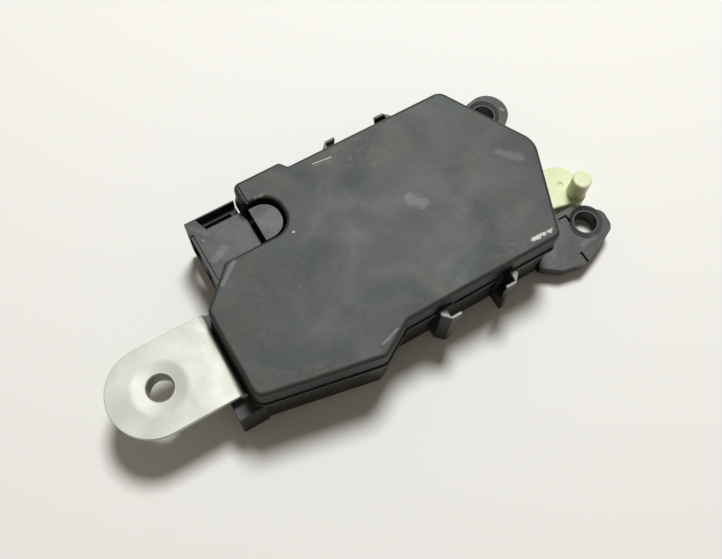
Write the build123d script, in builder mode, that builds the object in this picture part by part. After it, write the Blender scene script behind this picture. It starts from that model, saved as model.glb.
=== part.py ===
from build123d import *
import math
import os

os.makedirs("parts", exist_ok=True)

# Tailgate lock actuator, in millimetres. +Z points out of the cover, the case lies on z = 0,
# +X runs from the steel bracket to the output lever, and +Y is the connector's side.

# Fits
running_gap = 0.05
slip_gap = 0.1
seat_gap = 0.3
overcut = 1.0

# Height of the housing
housing_height = 26.0
seam_height = 18.4
floor_thickness = 2.0
case_wall = 2.0
cover_wall = 2.0
cover_top_thickness = 1.8
cover_edge_radius = 1.1
case_wall_inset = 0.8
rim_lip_height = 1.2
rim_lip_proud = 0.5

# Outline of the housing in plan, as the planes of its walls
left_wall_x = -43.2
far_wall_y = 27.0
arm_wall_y = 29.2
arm_end_x = -21.6
arm_step_x = -6.4
arm_step_run = 1.6
pocket_near_y = 10.4
pocket_far_y = 22.2
pocket_depth_x = -13.0
shoulder_x = -33.2
left_far_y = 0.6
slant_top_x = 43.0
nose_x = 57.8
nose_y = 0.5
near_right_x = 47.2
near_wall_y = -26.8
jog_x = -0.4
keel_x = -9.75
keel_y = -32.27
left_near_y = -25.5
corner_radius = 3.0
small_radius = 2.0
slant_radius = 3.5
nose_radius = 7.0
pocket_radius = 5.2
step_radius = 1.0
case_edge_radius = 0.8
arm_groove_inset = 1.1
arm_groove_width = 0.5
arm_groove_depth = 0.7

# Output shaft, lever and their bay under the case
shaft_x = 44.0
shaft_y = -4.0
output_shaft_radius = 2.95
shaft_top_gap = 0.6
drive_square = 4.2
bay_ceiling = 8.0
bay_floor_thickness = 2.2
bay_left_x = 36.5
bay_near_y = -15.6
bay_far_y = 9.0
bay_corner_radius = 3.0
bay_length = 40.0
bush_wall = 1.2
bush_head_room = 2.4
bush_boss_radius = 6.2
seal_depth = 1.5
seal_wall = 2.0
seal_web = 0.7
shaft_port_gap = 0.15
lever_screw_head_radius = 3.6
lever_screw_head_height = 1.8
lever_screw_head_edge = 0.6
lever_screw_radius = 1.2
lever_screw_length = 9.0
screw_cross_length = 3.2
screw_cross_width = 0.8
screw_cross_depth = 1.0

lever_hub_radius = 6.0
lever_bottom = 2.6
lever_thickness = 3.4
lever_hub_top = 7.5
lever_end_x = 65.0
lever_end_y = -8.3
lever_end_radius = 6.6
rod_pin_x = 68.6
rod_pin_y = -12.5
rod_pin_radius = 2.8
rod_pin_top = 14.0
rod_pin_lobe = 3.3
gate_mark_x = 66.0
gate_mark_y = -8.2
gate_mark_radius = 1.2
gate_mark_depth = 0.5
lever_edge_radius = 0.6
lever_collar_radius = 5.2
rod_pin_edge_radius = 0.7

# Mounting ears, bolt size and collars
bolt_hole_radius = 3.4
ear_top = 6.6
ear_thickness = 3.7
collar_bottom = 0.6
collar_wall = 1.7
near_hole_x = 65.3
near_hole_y = -22.0
far_hole_x = 59.0
far_hole_y = 22.9
far_ear_x = 60.5
far_ear_y = 22.7
far_ear_radius = 6.3
ear_rim = 0.3
ear_dish_radius = 4.9
ear_dish_foot_radius = 3.8
ear_dish_depth = 0.5

# Near ear in plan, as distances from its hole
near_ear_root_x = 50.0
near_ear_side_x = 0.2
near_ear_right_x = 6.6
near_ear_right_y = 0.4
near_ear_low_x = 5.9
near_ear_low_y = 5.2
near_ear_tip_x = 0.4
near_ear_tip_y = 8.2
near_ear_point_x = 7.6
near_ear_point_y = 10.9
near_ear_heel_x = 14.8
near_ear_heel_y = 9.2
near_ear_tail_run = 4.6
near_ear_tail_drop = 0.7
near_ear_root_rise = 1.6
near_ear_side_radius = 1.8
near_ear_right_radius = 3.0
near_ear_low_radius = 3.5
near_ear_corner_radius = 0.8
ear_pocket_x = 5.2
ear_pocket_y = 3.4
ear_pocket_length = 3.0
ear_pocket_width = 2.6
ear_pocket_depth = 0.9
ear_notch_x = 7.0
ear_notch_y = 9.2
ear_notch_width = 0.9
ear_notch_length = 4.0

# Far ear in plan
far_ear_root_x = 51.3
far_ear_root_y = 9.6
far_ear_top_x = 44.6
far_ear_top_y = 26.0

# Steel bracket
bracket_thickness = 1.6
flange_top = 18.6
bracket_width = 24.4
bracket_y = -8.9
bracket_hole_x = -62.35
bracket_tip_x = -76.4
bracket_bend_radius = 1.9
bracket_collar_bottom = 12.4
bracket_hole_edge = 0.6
bracket_dish_radius = 7.2
bracket_dish_foot_radius = 4.1
bracket_dish_depth = 0.35
bracket_dish_edge = 12.0
leg_bottom = 3.0
holder_top = 14.5
holder_depth = 6.4
holder_side = 4.4
holder_far_side = 0.6
bracket_screw_z = 8.5
bracket_screw_spacing = 11.0
bracket_screw_radius = 1.5
screw_head_radius = 2.8
screw_head_height = 1.6
screw_recess = 2.4
screw_bite = 3.0
hex_socket_radius = 1.4
hex_socket_depth = 1.0

# Snap towers that hold the cover's tongues
tower_rise = 2.4
tower_bottom = 2.4
tower_reach = 5.0
tower_corner = 2.2
tower_bar = 0.7
tower_length = 5.0
tower_foot_length = 1.2
tower_leg = 1.9
near_tower_a_x = 11.5
near_tower_b_x = 30.7
far_tower_a_x = 8.6
far_tower_b_x = 26.6
tongue_length = 8.4
tongue_thickness = 1.2
tongue_width = 2.4
catch_drop = 6.8
catch_height = 1.8
catch_width = 1.2
catch_reach = 0.96
catch_root = 0.5
tongue_root = 1.0

# Cord seal's groove in the rim
seal_groove_depth = 1.0
seal_groove_width = 1.0
seal_groove_inset = 1.2

# Connector
socket_left_x = -37.25
socket_right_x = -21.8
socket_near_y = 11.4
socket_mouth_near_y = 8.4
socket_far_y = 28.0
socket_bottom = 3.0
socket_top = 20.0
socket_wall = 1.6
socket_back = 2.6
deck_gap = 1.1
deck_edge_gap = 0.8
deck_drop = 2.0
latch_far_x = -34.0
latch_near_x = -32.6
latch_width = 3.9
latch_rim = 0.4
latch_depth = 3.4
mouth_step_width = 0.9
mouth_step_depth = 0.6
mouth_step_far_gap = 4.0
terminal_pitch_y = 4.0
terminal_pitch_z = 5.0
terminal_width = 1.5
terminal_height = 0.64
terminal_reach = 8.0
terminal_drop = 0.4
socket_slant_x = -33.4
deck_radius = 4.9
bridge_far_inset = 2.6
bridge_bottom = 4.0
riser_step = 1.6
riser_thickness = 0.6
riser_width = 1.2
riser_wall_gap = 1.0

# Motor
motor_x = -26.5
motor_wall_gap = 2.0
flat_depth = 2.9
clamp_height = 2.8
pad_gap = 0.15
can_length = 30.0
can_wall = 1.0
nose_boss_radius = 3.2
nose_boss_length = 1.6
end_cap_length = 2.6
magnet_thickness = 2.2
magnet_overhang = 1.0
cap_spigot_length = 1.5
cap_bearing_wall = 0.8
shaft_tail_gap = 0.2
armature_gap = 1.55
armature_length = 17.0
armature_x = -16.0
armature_slots = 5
armature_rim = 1.0
slot_mouth_width = 1.2
slot_mouth_depth = 2.4
armature_arm_share = 0.3
armature_arm_inset = 0.7
armature_hub_share = 1 / 3
winding_core_gap = 0.1
winding_overhang = 1.5
winding_end_thickness = 1.4
brush_thickness = 0.5
brush_width = 2.4
brush_root = 1.5
commutator_gap = 2.0
commutator_radius = 2.8
commutator_length = 4.0
rotor_shaft_radius = 1.0
motor_tab_y = 7.0
motor_tab_width = 2.2
motor_tab_thickness = 0.6
motor_tab_x = -28.4
motor_tab_depth = 3.0
pad_thickness = 0.75
pad_length = 14.0
pad_width = 10.0
pad_x = -19.0
cradle_thickness = 1.6
cradle_back_x = -21.5
cradle_front_x = -3.5
cradle_half_width = 10.8
clamp_back_x = -20.5
clamp_front_x = 0.5
clamp_half_width = 3.0

# Worm drive
gear_module = 1.0
worm_starts = 2
worm_radius = 3.8
worm_length = 16.0
tooth_addendum = 0.8
tooth_dedendum = 1.1
tooth_width = 1.2
flank_angle = 20.0
wheel_teeth = 24
wheel_face = 5.0
mesh_gap = 0.1
axle_radius = 1.5
boss_wall = 1.8
tooth_root_bite = 0.3
worm_core_bite = 0.2
pinion_teeth = 10
pinion_overhang = 0.5
sector_teeth = 48
sector_head_room = 3.3
sector_thickness = 3.5
sector_span_teeth = 9
sector_hub_radius = 5.6
worm_bush_length = 3.4
worm_bush_radius = 2.4
worm_bush_gap = 1.0
bush_block_wall = 1.6
bush_block_roof = 1.4
bush_stop = 0.8
bush_end_gap = 0.2
shaft_end_gap = 1.2
washer_thickness = 0.6
lever_travel = 38.0
stop_radius = 2.6
stop_rubber = 1.1
stop_circle = 14.0

# Switch contacts
carrier_head_room = 0.7
carrier_thickness = 1.2
strip_thickness = 0.4
lead_width = 1.2
carrier_post_radius = 1.1
carrier_end_x = 37.5
carrier_arm_x = 26.0
carrier_arm_y = -10.0
carrier_back_x = -2.0
carrier_near_y = 13.0
carrier_overlap = 1.0
carrier_margin = 0.4
carrier_row_margin = 2.2
carrier_far_margin = 0.9
track_start = 135.0
track_inner_radius = 11.3
track_width = 1.3
track_gap = 0.9
track_overrun = 14.0
wiper_thickness = 0.3
wiper_width = 3.0
wiper_margin = 0.6
wiper_finger_radius = 0.5
carrier_post_x = 31.0
carrier_back_post_x = 4.0
carrier_far_post_y = 21.8
carrier_near_post_x = -4.0
carrier_near_post_y = 8.0

# Sizes that follow from the ones above
cover_bottom = seam_height + seat_gap
cover_inside = housing_height - cover_top_thickness
motor_rest = floor_thickness + pad_thickness + pad_gap
can_flat = (cover_inside - clamp_height - seat_gap - motor_rest) / 2
motor_axis_z = motor_rest + can_flat
can_radius = can_flat + flat_depth
motor_y = near_wall_y + case_wall_inset + case_wall + motor_wall_gap + can_radius
magnet_outer = can_radius - can_wall - running_gap
armature_radius = magnet_outer - magnet_thickness - armature_gap
armature_arm_width = armature_radius * armature_arm_share
armature_hub_radius = armature_radius * armature_hub_share
winding_radius = armature_radius - armature_rim - 2 * winding_core_gap
deck_top = housing_height - deck_drop
tower_top = seam_height + tower_rise
catch_bottom = seam_height - catch_drop
shaft_top_height = cover_inside - shaft_top_gap
worm_lead = worm_starts * math.pi * gear_module
wheel_radius = wheel_teeth * gear_module / 2
pinion_radius = pinion_teeth * gear_module / 2
sector_radius = sector_teeth * gear_module / 2
wheel_y = motor_y + worm_radius + wheel_radius + mesh_gap
deck_left_x = socket_right_x + deck_gap
train_distance = sector_radius + pinion_radius + mesh_gap
wheel_x = shaft_x - math.sqrt(train_distance**2 - (shaft_y - wheel_y) ** 2)
wheel_angle = math.degrees(math.atan2(wheel_y - shaft_y, wheel_x - shaft_x))
wheel_bottom = motor_axis_z - wheel_face / 2
worm_start_x = wheel_x - worm_length / 2
can_end_x = motor_x + can_length
bush_x = worm_start_x + worm_length + worm_bush_gap
lever_top = lever_bottom + lever_thickness
bush_bottom = bay_ceiling + seal_depth + seal_web
bush_radius = output_shaft_radius + running_gap + bush_wall
sector_top = cover_inside - sector_head_room
sector_bottom = sector_top - sector_thickness
bush_top = sector_bottom - bush_head_room
pinion_top = sector_top + pinion_overhang
carrier_top = cover_inside - carrier_head_room
carrier_bottom = carrier_top - carrier_thickness
strip_bottom = carrier_bottom - strip_thickness
outer_track_radius = track_inner_radius + track_width + track_gap
riser_x = pocket_depth_x + case_wall_inset + case_wall + riser_wall_gap
socket_cavity_x = socket_right_x - socket_back
latch_far_y = socket_far_y - latch_rim
holder_x = left_wall_x + case_wall_inset - holder_depth
leg_x = left_wall_x - rim_lip_proud - seat_gap
bend_x = leg_x - bracket_thickness
near_outer_y = near_wall_y + case_wall_inset
far_outer_y = far_wall_y - case_wall_inset


def housing_outline(grow):
    """The housing's closed outline in plan, moved out by grow, as a sketch face."""
    with BuildLine() as walls:
        FilletPolyline(
            (arm_end_x, arm_wall_y),
            (arm_step_x - arm_step_run / 2, arm_wall_y),
            (arm_step_x + arm_step_run / 2, far_wall_y),
            (slant_top_x, far_wall_y),
            (nose_x, nose_y),
            (near_right_x, near_wall_y),
            (jog_x, near_wall_y),
            (keel_x, keel_y),
            (left_wall_x, left_near_y),
            (left_wall_x, left_far_y),
            (shoulder_x, pocket_near_y),
            (pocket_depth_x, pocket_near_y),
            (pocket_depth_x, pocket_far_y),
            (arm_end_x, pocket_far_y),
            radius=[
                small_radius, step_radius, step_radius, slant_radius, nose_radius, small_radius, small_radius,
                corner_radius, corner_radius, corner_radius, corner_radius, pocket_radius,
                pocket_radius, small_radius,
            ],
            close=True,
        )
    outline = make_face(walls.edges(), mode=Mode.PRIVATE)
    add(offset(outline, amount=grow, mode=Mode.PRIVATE) if grow else outline)


def slab(grow, bottom, top, mode=Mode.ADD):
    """A plate with the housing's outline between two heights."""
    with BuildSketch(Plane.XY.offset(bottom)) as profile:
        housing_outline(grow)
    extrude(profile.sketch, amount=top - bottom, mode=mode)


def block(x0, x1, y0, y1, z0, z1, mode=Mode.ADD):
    """A rectangular block between two corners."""
    with BuildSketch(Plane.XY.offset(z0)) as profile:
        with Locations(((x0 + x1) / 2, (y0 + y1) / 2)):
            Rectangle(x1 - x0, y1 - y0)
    extrude(profile.sketch, amount=z1 - z0, mode=mode)


def post(x, y, radius, bottom, top, mode=Mode.ADD):
    """A round post, or with Mode.SUBTRACT a round hole, between two heights."""
    with BuildSketch(Plane.XY.offset(bottom)) as profile:
        with Locations((x, y)):
            Circle(radius)
    extrude(profile.sketch, amount=top - bottom, mode=mode)


def rod(x0, x1, y, z, radius, mode=Mode.ADD):
    """A round bar along X."""
    with BuildSketch(Plane.YZ.offset(x0)) as profile:
        with Locations((y, z)):
            Circle(radius)
    extrude(profile.sketch, amount=x1 - x0, mode=mode)


def motor_section(radius, flat, x0, x1, mode=Mode.ADD):
    """The motor's round section with two flats, along X."""
    with BuildSketch(Plane.YZ.offset(x0)) as profile:
        with Locations((motor_y, motor_axis_z)):
            Circle(radius)
            Rectangle(2 * radius, 2 * flat, mode=Mode.INTERSECT)
    extrude(profile.sketch, amount=x1 - x0, mode=mode)


def tooth(pitch_radius, angle, centre):
    """One straight-flanked gear tooth on a gear about centre, pointing along angle."""
    slope = math.tan(math.radians(flank_angle))
    sunk = tooth_dedendum + tooth_root_bite
    root_half = tooth_width / 2 + slope * sunk
    tip_half = tooth_width / 2 - slope * tooth_addendum
    root = pitch_radius - sunk
    tip = pitch_radius + tooth_addendum
    with Locations(Location((*centre, 0), (0, 0, angle))):
        Polygon((root, -root_half), (tip, -tip_half), (tip, tip_half), (root, root_half), align=None)


def dish(x, y, top, radius, foot_radius, depth):
    """A shallow cone sunk into a top face around a hole."""
    with Locations((x, y, top)):
        Cone(foot_radius, radius, depth, align=(Align.CENTER, Align.CENTER, Align.MAX), mode=Mode.SUBTRACT)


def snap_tower(x, wall_y, side, leg_side):
    """A snap tower outside the wall that tapers down to its -X edge, open inside for the cover's tongue."""
    half = tower_length / 2
    inside = wall_y - side * case_wall / 2
    outer = wall_y + side * tower_reach
    # The foot keeps the chamfered corner where that is on the -X side, and is a narrow strip otherwise
    foot_start = x - half + (tower_foot_length if leg_side > 0 else 0)
    foot_end = foot_start + tower_foot_length + (tower_corner if leg_side < 0 else 0)
    outline = [
        (x + leg_side * half, inside),
        (x + leg_side * half, outer - side * tower_corner),
        (x + leg_side * (half - tower_corner), outer),
        (x - leg_side * half, outer),
        (x - leg_side * half, inside),
    ]
    foot = [(min(max(corner_x, foot_start), foot_end), corner_y) for corner_x, corner_y in outline]
    sections = []
    for height, corners in ((tower_bottom, foot), (tower_top, outline)):
        with BuildSketch(Plane.XY.offset(height)) as section:
            with BuildLine():
                Polyline(corners, close=True)
            make_face()
        sections.append(section.sketch.face())
    loft(sections)
    # Space for the tongue, and clearance around the cover's wall above the seam
    x0, x1 = sorted((x - leg_side * (half + overcut), x + leg_side * (half - tower_leg)))
    y0, y1 = sorted((wall_y, outer - side * tower_bar))
    block(x0, x1, y0, y1, seam_height - tongue_length - seat_gap, tower_top + overcut, mode=Mode.SUBTRACT)
    y0, y1 = sorted((inside - side * overcut, wall_y + side * (case_wall_inset + seat_gap)))
    block(x - half - overcut, x + half + overcut, y0, y1, seam_height, tower_top + overcut,
          mode=Mode.SUBTRACT)


def terminal_slots(x0, x1):
    """Clearance slots for the connector blades between two x planes."""
    side = terminal_width / 2 + running_gap
    rise = terminal_height / 2 + running_gap
    for row in terminal_rows:
        for column in terminal_columns:
            block(x0, x1, column - side, column + side, row - rise, row + rise, mode=Mode.SUBTRACT)


def deck_outline(grow):
    """The D-shaped deck beside the connector, in plan."""
    near = pocket_near_y + deck_edge_gap - grow
    far = pocket_far_y - deck_edge_gap + grow
    with BuildLine() as edge:
        FilletPolyline(
            (deck_left_x, near),
            (pocket_depth_x - deck_edge_gap, near),
            (pocket_depth_x - deck_edge_gap, far),
            (deck_left_x, far),
            radius=[0, deck_radius, deck_radius, 0],
            close=True,
        )
    add(make_face(edge.edges(), mode=Mode.PRIVATE))


def bay_outline(grow):
    """The lever bay in plan: a pocket around the shaft that is open towards the lever's end."""
    width = bay_far_y - bay_near_y + 2 * grow
    with Locations((bay_left_x - grow + bay_length / 2, (bay_near_y + bay_far_y) / 2)):
        RectangleRounded(bay_length, width, bay_corner_radius)


def socket_outline(grow):
    """The connector socket in plan, with its slanted corner beside the housing."""
    slant = socket_near_y - socket_mouth_near_y
    with BuildLine() as edge:
        Polyline(
            (socket_left_x - grow, socket_mouth_near_y - grow),
            (socket_slant_x - slant, socket_mouth_near_y - grow),
            (socket_slant_x, socket_near_y - grow),
            (socket_right_x + grow, socket_near_y - grow),
            (socket_right_x + grow, socket_far_y + grow),
            (socket_left_x - grow, socket_far_y + grow),
            close=True,
        )
    add(make_face(edge.edges(), mode=Mode.PRIVATE))


towers = [
    (near_tower_a_x, near_outer_y, -1, -1),
    (near_tower_b_x, near_outer_y, -1, 1),
    (far_tower_a_x, far_outer_y, 1, -1),
    (far_tower_b_x, far_outer_y, 1, 1),
]
tongue_centres = [(x - leg_side * tower_leg / 2, wall_y, side) for x, wall_y, side, leg_side in towers]
terminal_z = (socket_bottom + socket_top) / 2 - terminal_drop
terminal_y = (socket_near_y + socket_far_y) / 2
terminal_rows = [terminal_z - terminal_pitch_z / 2, terminal_z + terminal_pitch_z / 2]
terminal_columns = [terminal_y + k * terminal_pitch_y for k in (-1, 0, 1)]
screw_rows = [bracket_y - bracket_screw_spacing / 2, bracket_y + bracket_screw_spacing / 2]
sector_half_span = (sector_span_teeth / 2) * 360 / sector_teeth
carrier_posts = [
    (carrier_post_x, carrier_far_post_y),
    (carrier_back_post_x, carrier_far_post_y),
    (carrier_near_post_x, carrier_near_post_y),
]
ear_recesses = [
    (near_hole_x - ear_pocket_x, near_hole_y + ear_pocket_y, ear_pocket_length, ear_pocket_width),
    (near_hole_x - ear_notch_x, near_hole_y - ear_notch_y, ear_notch_width, ear_notch_length),
]
sector_mid_angle = wheel_angle - lever_travel / 2


# The sector's teeth stand half a pitch to each side of the line to the pinion
tooth_step = 360 / sector_teeth
teeth_below = round((wheel_angle - sector_mid_angle + sector_half_span) / tooth_step - 1)
first_sector_tooth = wheel_angle - tooth_step / 2 - (teeth_below - 1) * tooth_step


def about_shaft(radius, angle):
    """A point in plan at a radius and angle about the output shaft."""
    return shaft_x + radius * math.cos(math.radians(angle)), shaft_y + radius * math.sin(math.radians(angle))


stop_offset = math.degrees(math.asin((stop_radius + seat_gap) / stop_circle))
stop_points = [
    about_shaft(stop_circle, sector_mid_angle - sector_half_span - stop_offset),
    about_shaft(stop_circle, sector_mid_angle + sector_half_span + lever_travel + stop_offset),
]

# Case: the lower shell with its rim, ears, snap towers, bracket holder and connector block
with BuildPart() as case:
    slab(-case_wall_inset, 0, seam_height)
    fillet(case.faces().sort_by(Axis.Z)[0].edges(), case_edge_radius)
    slab(rim_lip_proud, seam_height - rim_lip_height, seam_height)
    for x, wall_y, side, leg_side in towers:
        snap_tower(x, wall_y, side, leg_side)
    # Near ear: a six-sided plate with a collar for the bolt, a small pocket and a notch
    with BuildSketch(Plane.XY.offset(ear_top - ear_rim - ear_thickness)):
        with BuildLine():
            FilletPolyline(
                (near_ear_root_x, bay_near_y - seat_gap),
                (near_hole_x - near_ear_side_x, bay_near_y - seat_gap),
                (near_hole_x + near_ear_right_x, near_hole_y + near_ear_right_y),
                (near_hole_x + near_ear_low_x, near_hole_y - near_ear_low_y),
                (near_hole_x - near_ear_tip_x, near_hole_y - near_ear_tip_y),
                (near_hole_x - near_ear_point_x, near_hole_y - near_ear_point_y),
                (near_hole_x - near_ear_heel_x, near_hole_y - near_ear_heel_y),
                (near_ear_root_x - near_ear_tail_run, near_wall_y - near_ear_tail_drop),
                (near_ear_root_x - near_ear_tail_run, near_wall_y + near_ear_root_rise),
                radius=[
                    0, near_ear_side_radius, near_ear_right_radius, near_ear_low_radius,
                    near_ear_corner_radius, near_ear_corner_radius, near_ear_corner_radius,
                    near_ear_corner_radius, 0,
                ],
                close=True,
            )
        make_face()
    extrude(amount=ear_thickness)
    post(near_hole_x, near_hole_y, bolt_hole_radius + collar_wall, collar_bottom, ear_top)
    # Far ear: a round-ended lug
    with BuildSketch(Plane.XY.offset(ear_top - ear_rim - ear_thickness)) as lug:
        with BuildLine() as lug_edges:
            CenterArc((far_ear_x, far_ear_y), far_ear_radius, 0, 360)
            Line((far_ear_root_x, far_ear_root_y), (far_ear_top_x, far_ear_top_y))
        make_hull(lug_edges.edges())
    extrude(lug.sketch, amount=ear_thickness + ear_rim)
    post(far_hole_x, far_hole_y, bolt_hole_radius + collar_wall, collar_bottom, ear_top)
    # Holder for the bracket's leg
    block(holder_x, left_wall_x + case_wall, bracket_y - bracket_width / 2 - holder_side,
          bracket_y + bracket_width / 2 + holder_far_side, 0, holder_top)
    # Block that carries the connector's blades, with its D-shaped deck
    block(deck_left_x, pocket_depth_x + case_wall, pocket_near_y - case_wall, pocket_far_y + case_wall,
          socket_bottom, seam_height)
    with BuildSketch(Plane.XY.offset(seam_height)) as deck:
        deck_outline(0)
    extrude(deck.sketch, amount=deck_top - seam_height)
    # Raised floor over the lever bay, which is open at its foot and towards the lever's end
    slab(-case_wall_inset - case_wall, floor_thickness, seam_height, mode=Mode.SUBTRACT)
    with BuildSketch(Plane.XY) as bay_floor:
        bay_outline(case_wall)
    bay_solid = extrude(bay_floor.sketch, amount=bay_ceiling + bay_floor_thickness, mode=Mode.PRIVATE)
    with BuildSketch(Plane.XY) as inner_face:
        housing_outline(-case_wall_inset - case_wall / 2)
    inner_solid = extrude(inner_face.sketch, amount=seam_height, mode=Mode.PRIVATE)
    add(bay_solid & inner_solid)
    with BuildSketch(Plane.XY) as bay_space:
        bay_outline(0)
    extrude(bay_space.sketch, amount=bay_ceiling, mode=Mode.SUBTRACT)
    post(shaft_x, shaft_y, bush_boss_radius, bay_ceiling, bush_top)
    # Bosses, cradles and posts inside
    post(wheel_x, wheel_y, axle_radius + boss_wall, 0, wheel_bottom - washer_thickness)
    for x in (cradle_back_x, cradle_front_x):
        block(x, x + cradle_thickness, motor_y - cradle_half_width, motor_y + cradle_half_width,
              0, motor_axis_z - can_flat / 2)
    motor_section(can_radius + slip_gap, can_flat + slip_gap, motor_x - overcut, can_end_x + overcut,
                  mode=Mode.SUBTRACT)
    block(bush_x, bush_x + worm_bush_length, motor_y - worm_bush_radius - bush_block_wall,
          motor_y + worm_bush_radius + bush_block_wall, 0, motor_axis_z + worm_bush_radius + bush_block_roof)
    rod(bush_x - overcut, bush_x + worm_bush_length - bush_stop, motor_y, motor_axis_z,
        worm_bush_radius + slip_gap / 2, mode=Mode.SUBTRACT)
    for point in stop_points:
        post(*point, stop_radius - stop_rubber, floor_thickness, sector_top)
    for point in carrier_posts:
        post(*point, carrier_post_radius, 0, carrier_bottom)
    # Bores, slots and the seal's groove
    dish(near_hole_x, near_hole_y, ear_top, ear_dish_radius, ear_dish_foot_radius, ear_dish_depth)
    dish(far_hole_x, far_hole_y, ear_top, ear_dish_radius, ear_dish_foot_radius, ear_dish_depth)
    for recess_x, recess_y, length, width in ear_recesses:
        block(recess_x - length / 2, recess_x + length / 2, recess_y - width / 2, recess_y + width / 2,
              ear_top - ear_rim - ear_pocket_depth, ear_top + overcut, mode=Mode.SUBTRACT)
    post(near_hole_x, near_hole_y, bolt_hole_radius, -overcut, ear_top + overcut, mode=Mode.SUBTRACT)
    post(far_hole_x, far_hole_y, bolt_hole_radius, -overcut, ear_top + overcut, mode=Mode.SUBTRACT)
    post(shaft_x, shaft_y, output_shaft_radius + seal_wall, bay_ceiling - overcut, bay_ceiling + seal_depth,
         mode=Mode.SUBTRACT)
    post(shaft_x, shaft_y, output_shaft_radius + shaft_port_gap, bay_ceiling, bush_bottom + overcut,
         mode=Mode.SUBTRACT)
    post(shaft_x, shaft_y, bush_radius + running_gap / 2, bush_bottom, bush_top + overcut, mode=Mode.SUBTRACT)
    post(wheel_x, wheel_y, axle_radius + running_gap / 2, floor_thickness, wheel_bottom, mode=Mode.SUBTRACT)
    with BuildSketch(Plane.XY.offset(seam_height - seal_groove_depth)) as groove:
        housing_outline(-seal_groove_inset)
        with BuildSketch(mode=Mode.PRIVATE) as island:
            housing_outline(-seal_groove_inset - seal_groove_width)
        add(island.sketch, mode=Mode.SUBTRACT)
    extrude(groove.sketch, amount=seal_groove_depth, mode=Mode.SUBTRACT)
    terminal_slots(deck_left_x - overcut, pocket_depth_x + case_wall + overcut)
    block(leg_x - bracket_thickness - slip_gap, leg_x + slip_gap, bracket_y - bracket_width / 2 - slip_gap,
          bracket_y + bracket_width / 2 + slip_gap, leg_bottom - slip_gap, holder_top + overcut,
          mode=Mode.SUBTRACT)
    for row in screw_rows:
        rod(holder_x - overcut, holder_x + screw_recess, row, bracket_screw_z, screw_head_radius + slip_gap,
            mode=Mode.SUBTRACT)
        rod(holder_x, leg_x + screw_bite, row, bracket_screw_z, bracket_screw_radius + slip_gap / 2,
            mode=Mode.SUBTRACT)
    for x, wall_y, side in tongue_centres:
        y0, y1 = sorted((wall_y, wall_y + side * (rim_lip_proud + case_wall_inset + overcut)))
        block(x - tongue_width / 2 - slip_gap, x + tongue_width / 2 + slip_gap, y0, y1,
              seam_height - rim_lip_height, seam_height, mode=Mode.SUBTRACT)
        y0, y1 = sorted((wall_y - side * catch_root, wall_y + side * catch_reach))
        block(x - catch_width / 2, x + catch_width / 2, y0, y1, catch_bottom, catch_bottom + catch_height)
case.part.label = "case"
export_step(case.part, "parts/case.step")

# Cover: the upper shell with tongues for the snap towers and bosses for the axle and the shaft
with BuildPart() as cover:
    slab(0, cover_bottom, housing_height)
    fillet(cover.faces().sort_by(Axis.Z)[-1].edges(), cover_edge_radius)
    slab(-cover_wall, cover_bottom, cover_inside, mode=Mode.SUBTRACT)
    groove_x = arm_end_x + arm_groove_inset
    block(groove_x, groove_x + arm_groove_width, pocket_far_y - overcut, arm_wall_y + overcut,
          housing_height - arm_groove_depth, housing_height + overcut, mode=Mode.SUBTRACT)
    post(wheel_x, wheel_y, axle_radius + boss_wall, pinion_top + seat_gap, cover_inside)
    post(wheel_x, wheel_y, axle_radius + running_gap / 2, pinion_top, cover_inside, mode=Mode.SUBTRACT)
    post(shaft_x, shaft_y, output_shaft_radius + boss_wall, sector_top + seat_gap, cover_inside)
    post(shaft_x, shaft_y, output_shaft_radius + running_gap, sector_bottom, shaft_top_height + seat_gap,
         mode=Mode.SUBTRACT)
    for x in (clamp_back_x, clamp_front_x):
        block(x, x + cradle_thickness, motor_y - clamp_half_width, motor_y + clamp_half_width,
              motor_axis_z + can_flat + seat_gap, cover_inside)
    for x, wall_y, side in tongue_centres:
        y0, y1 = sorted((wall_y + side * slip_gap, wall_y + side * (slip_gap + tongue_thickness)))
        block(x - tongue_width / 2, x + tongue_width / 2, y0, y1, seam_height - tongue_length,
              cover_bottom + tongue_root)
        block(x - catch_width / 2 - slip_gap, x + catch_width / 2 + slip_gap, y0, y1,
              catch_bottom - slip_gap, catch_bottom + catch_height + slip_gap, mode=Mode.SUBTRACT)
cover.part.label = "cover"
export_step(cover.part, "parts/cover.step")

# Rubber cord seal between case and cover
with BuildPart() as perimeter_seal:
    with BuildSketch(Plane.XY.offset(seam_height - seal_groove_depth)) as ring:
        housing_outline(-seal_groove_inset - slip_gap / 2)
        with BuildSketch(mode=Mode.PRIVATE) as middle:
            housing_outline(-seal_groove_inset - seal_groove_width + slip_gap / 2)
        add(middle.sketch, mode=Mode.SUBTRACT)
    extrude(ring.sketch, amount=cover_bottom - seam_height + seal_groove_depth)
perimeter_seal.part.label = "perimeter_seal"
export_step(perimeter_seal.part, "parts/perimeter_seal.step")

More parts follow.
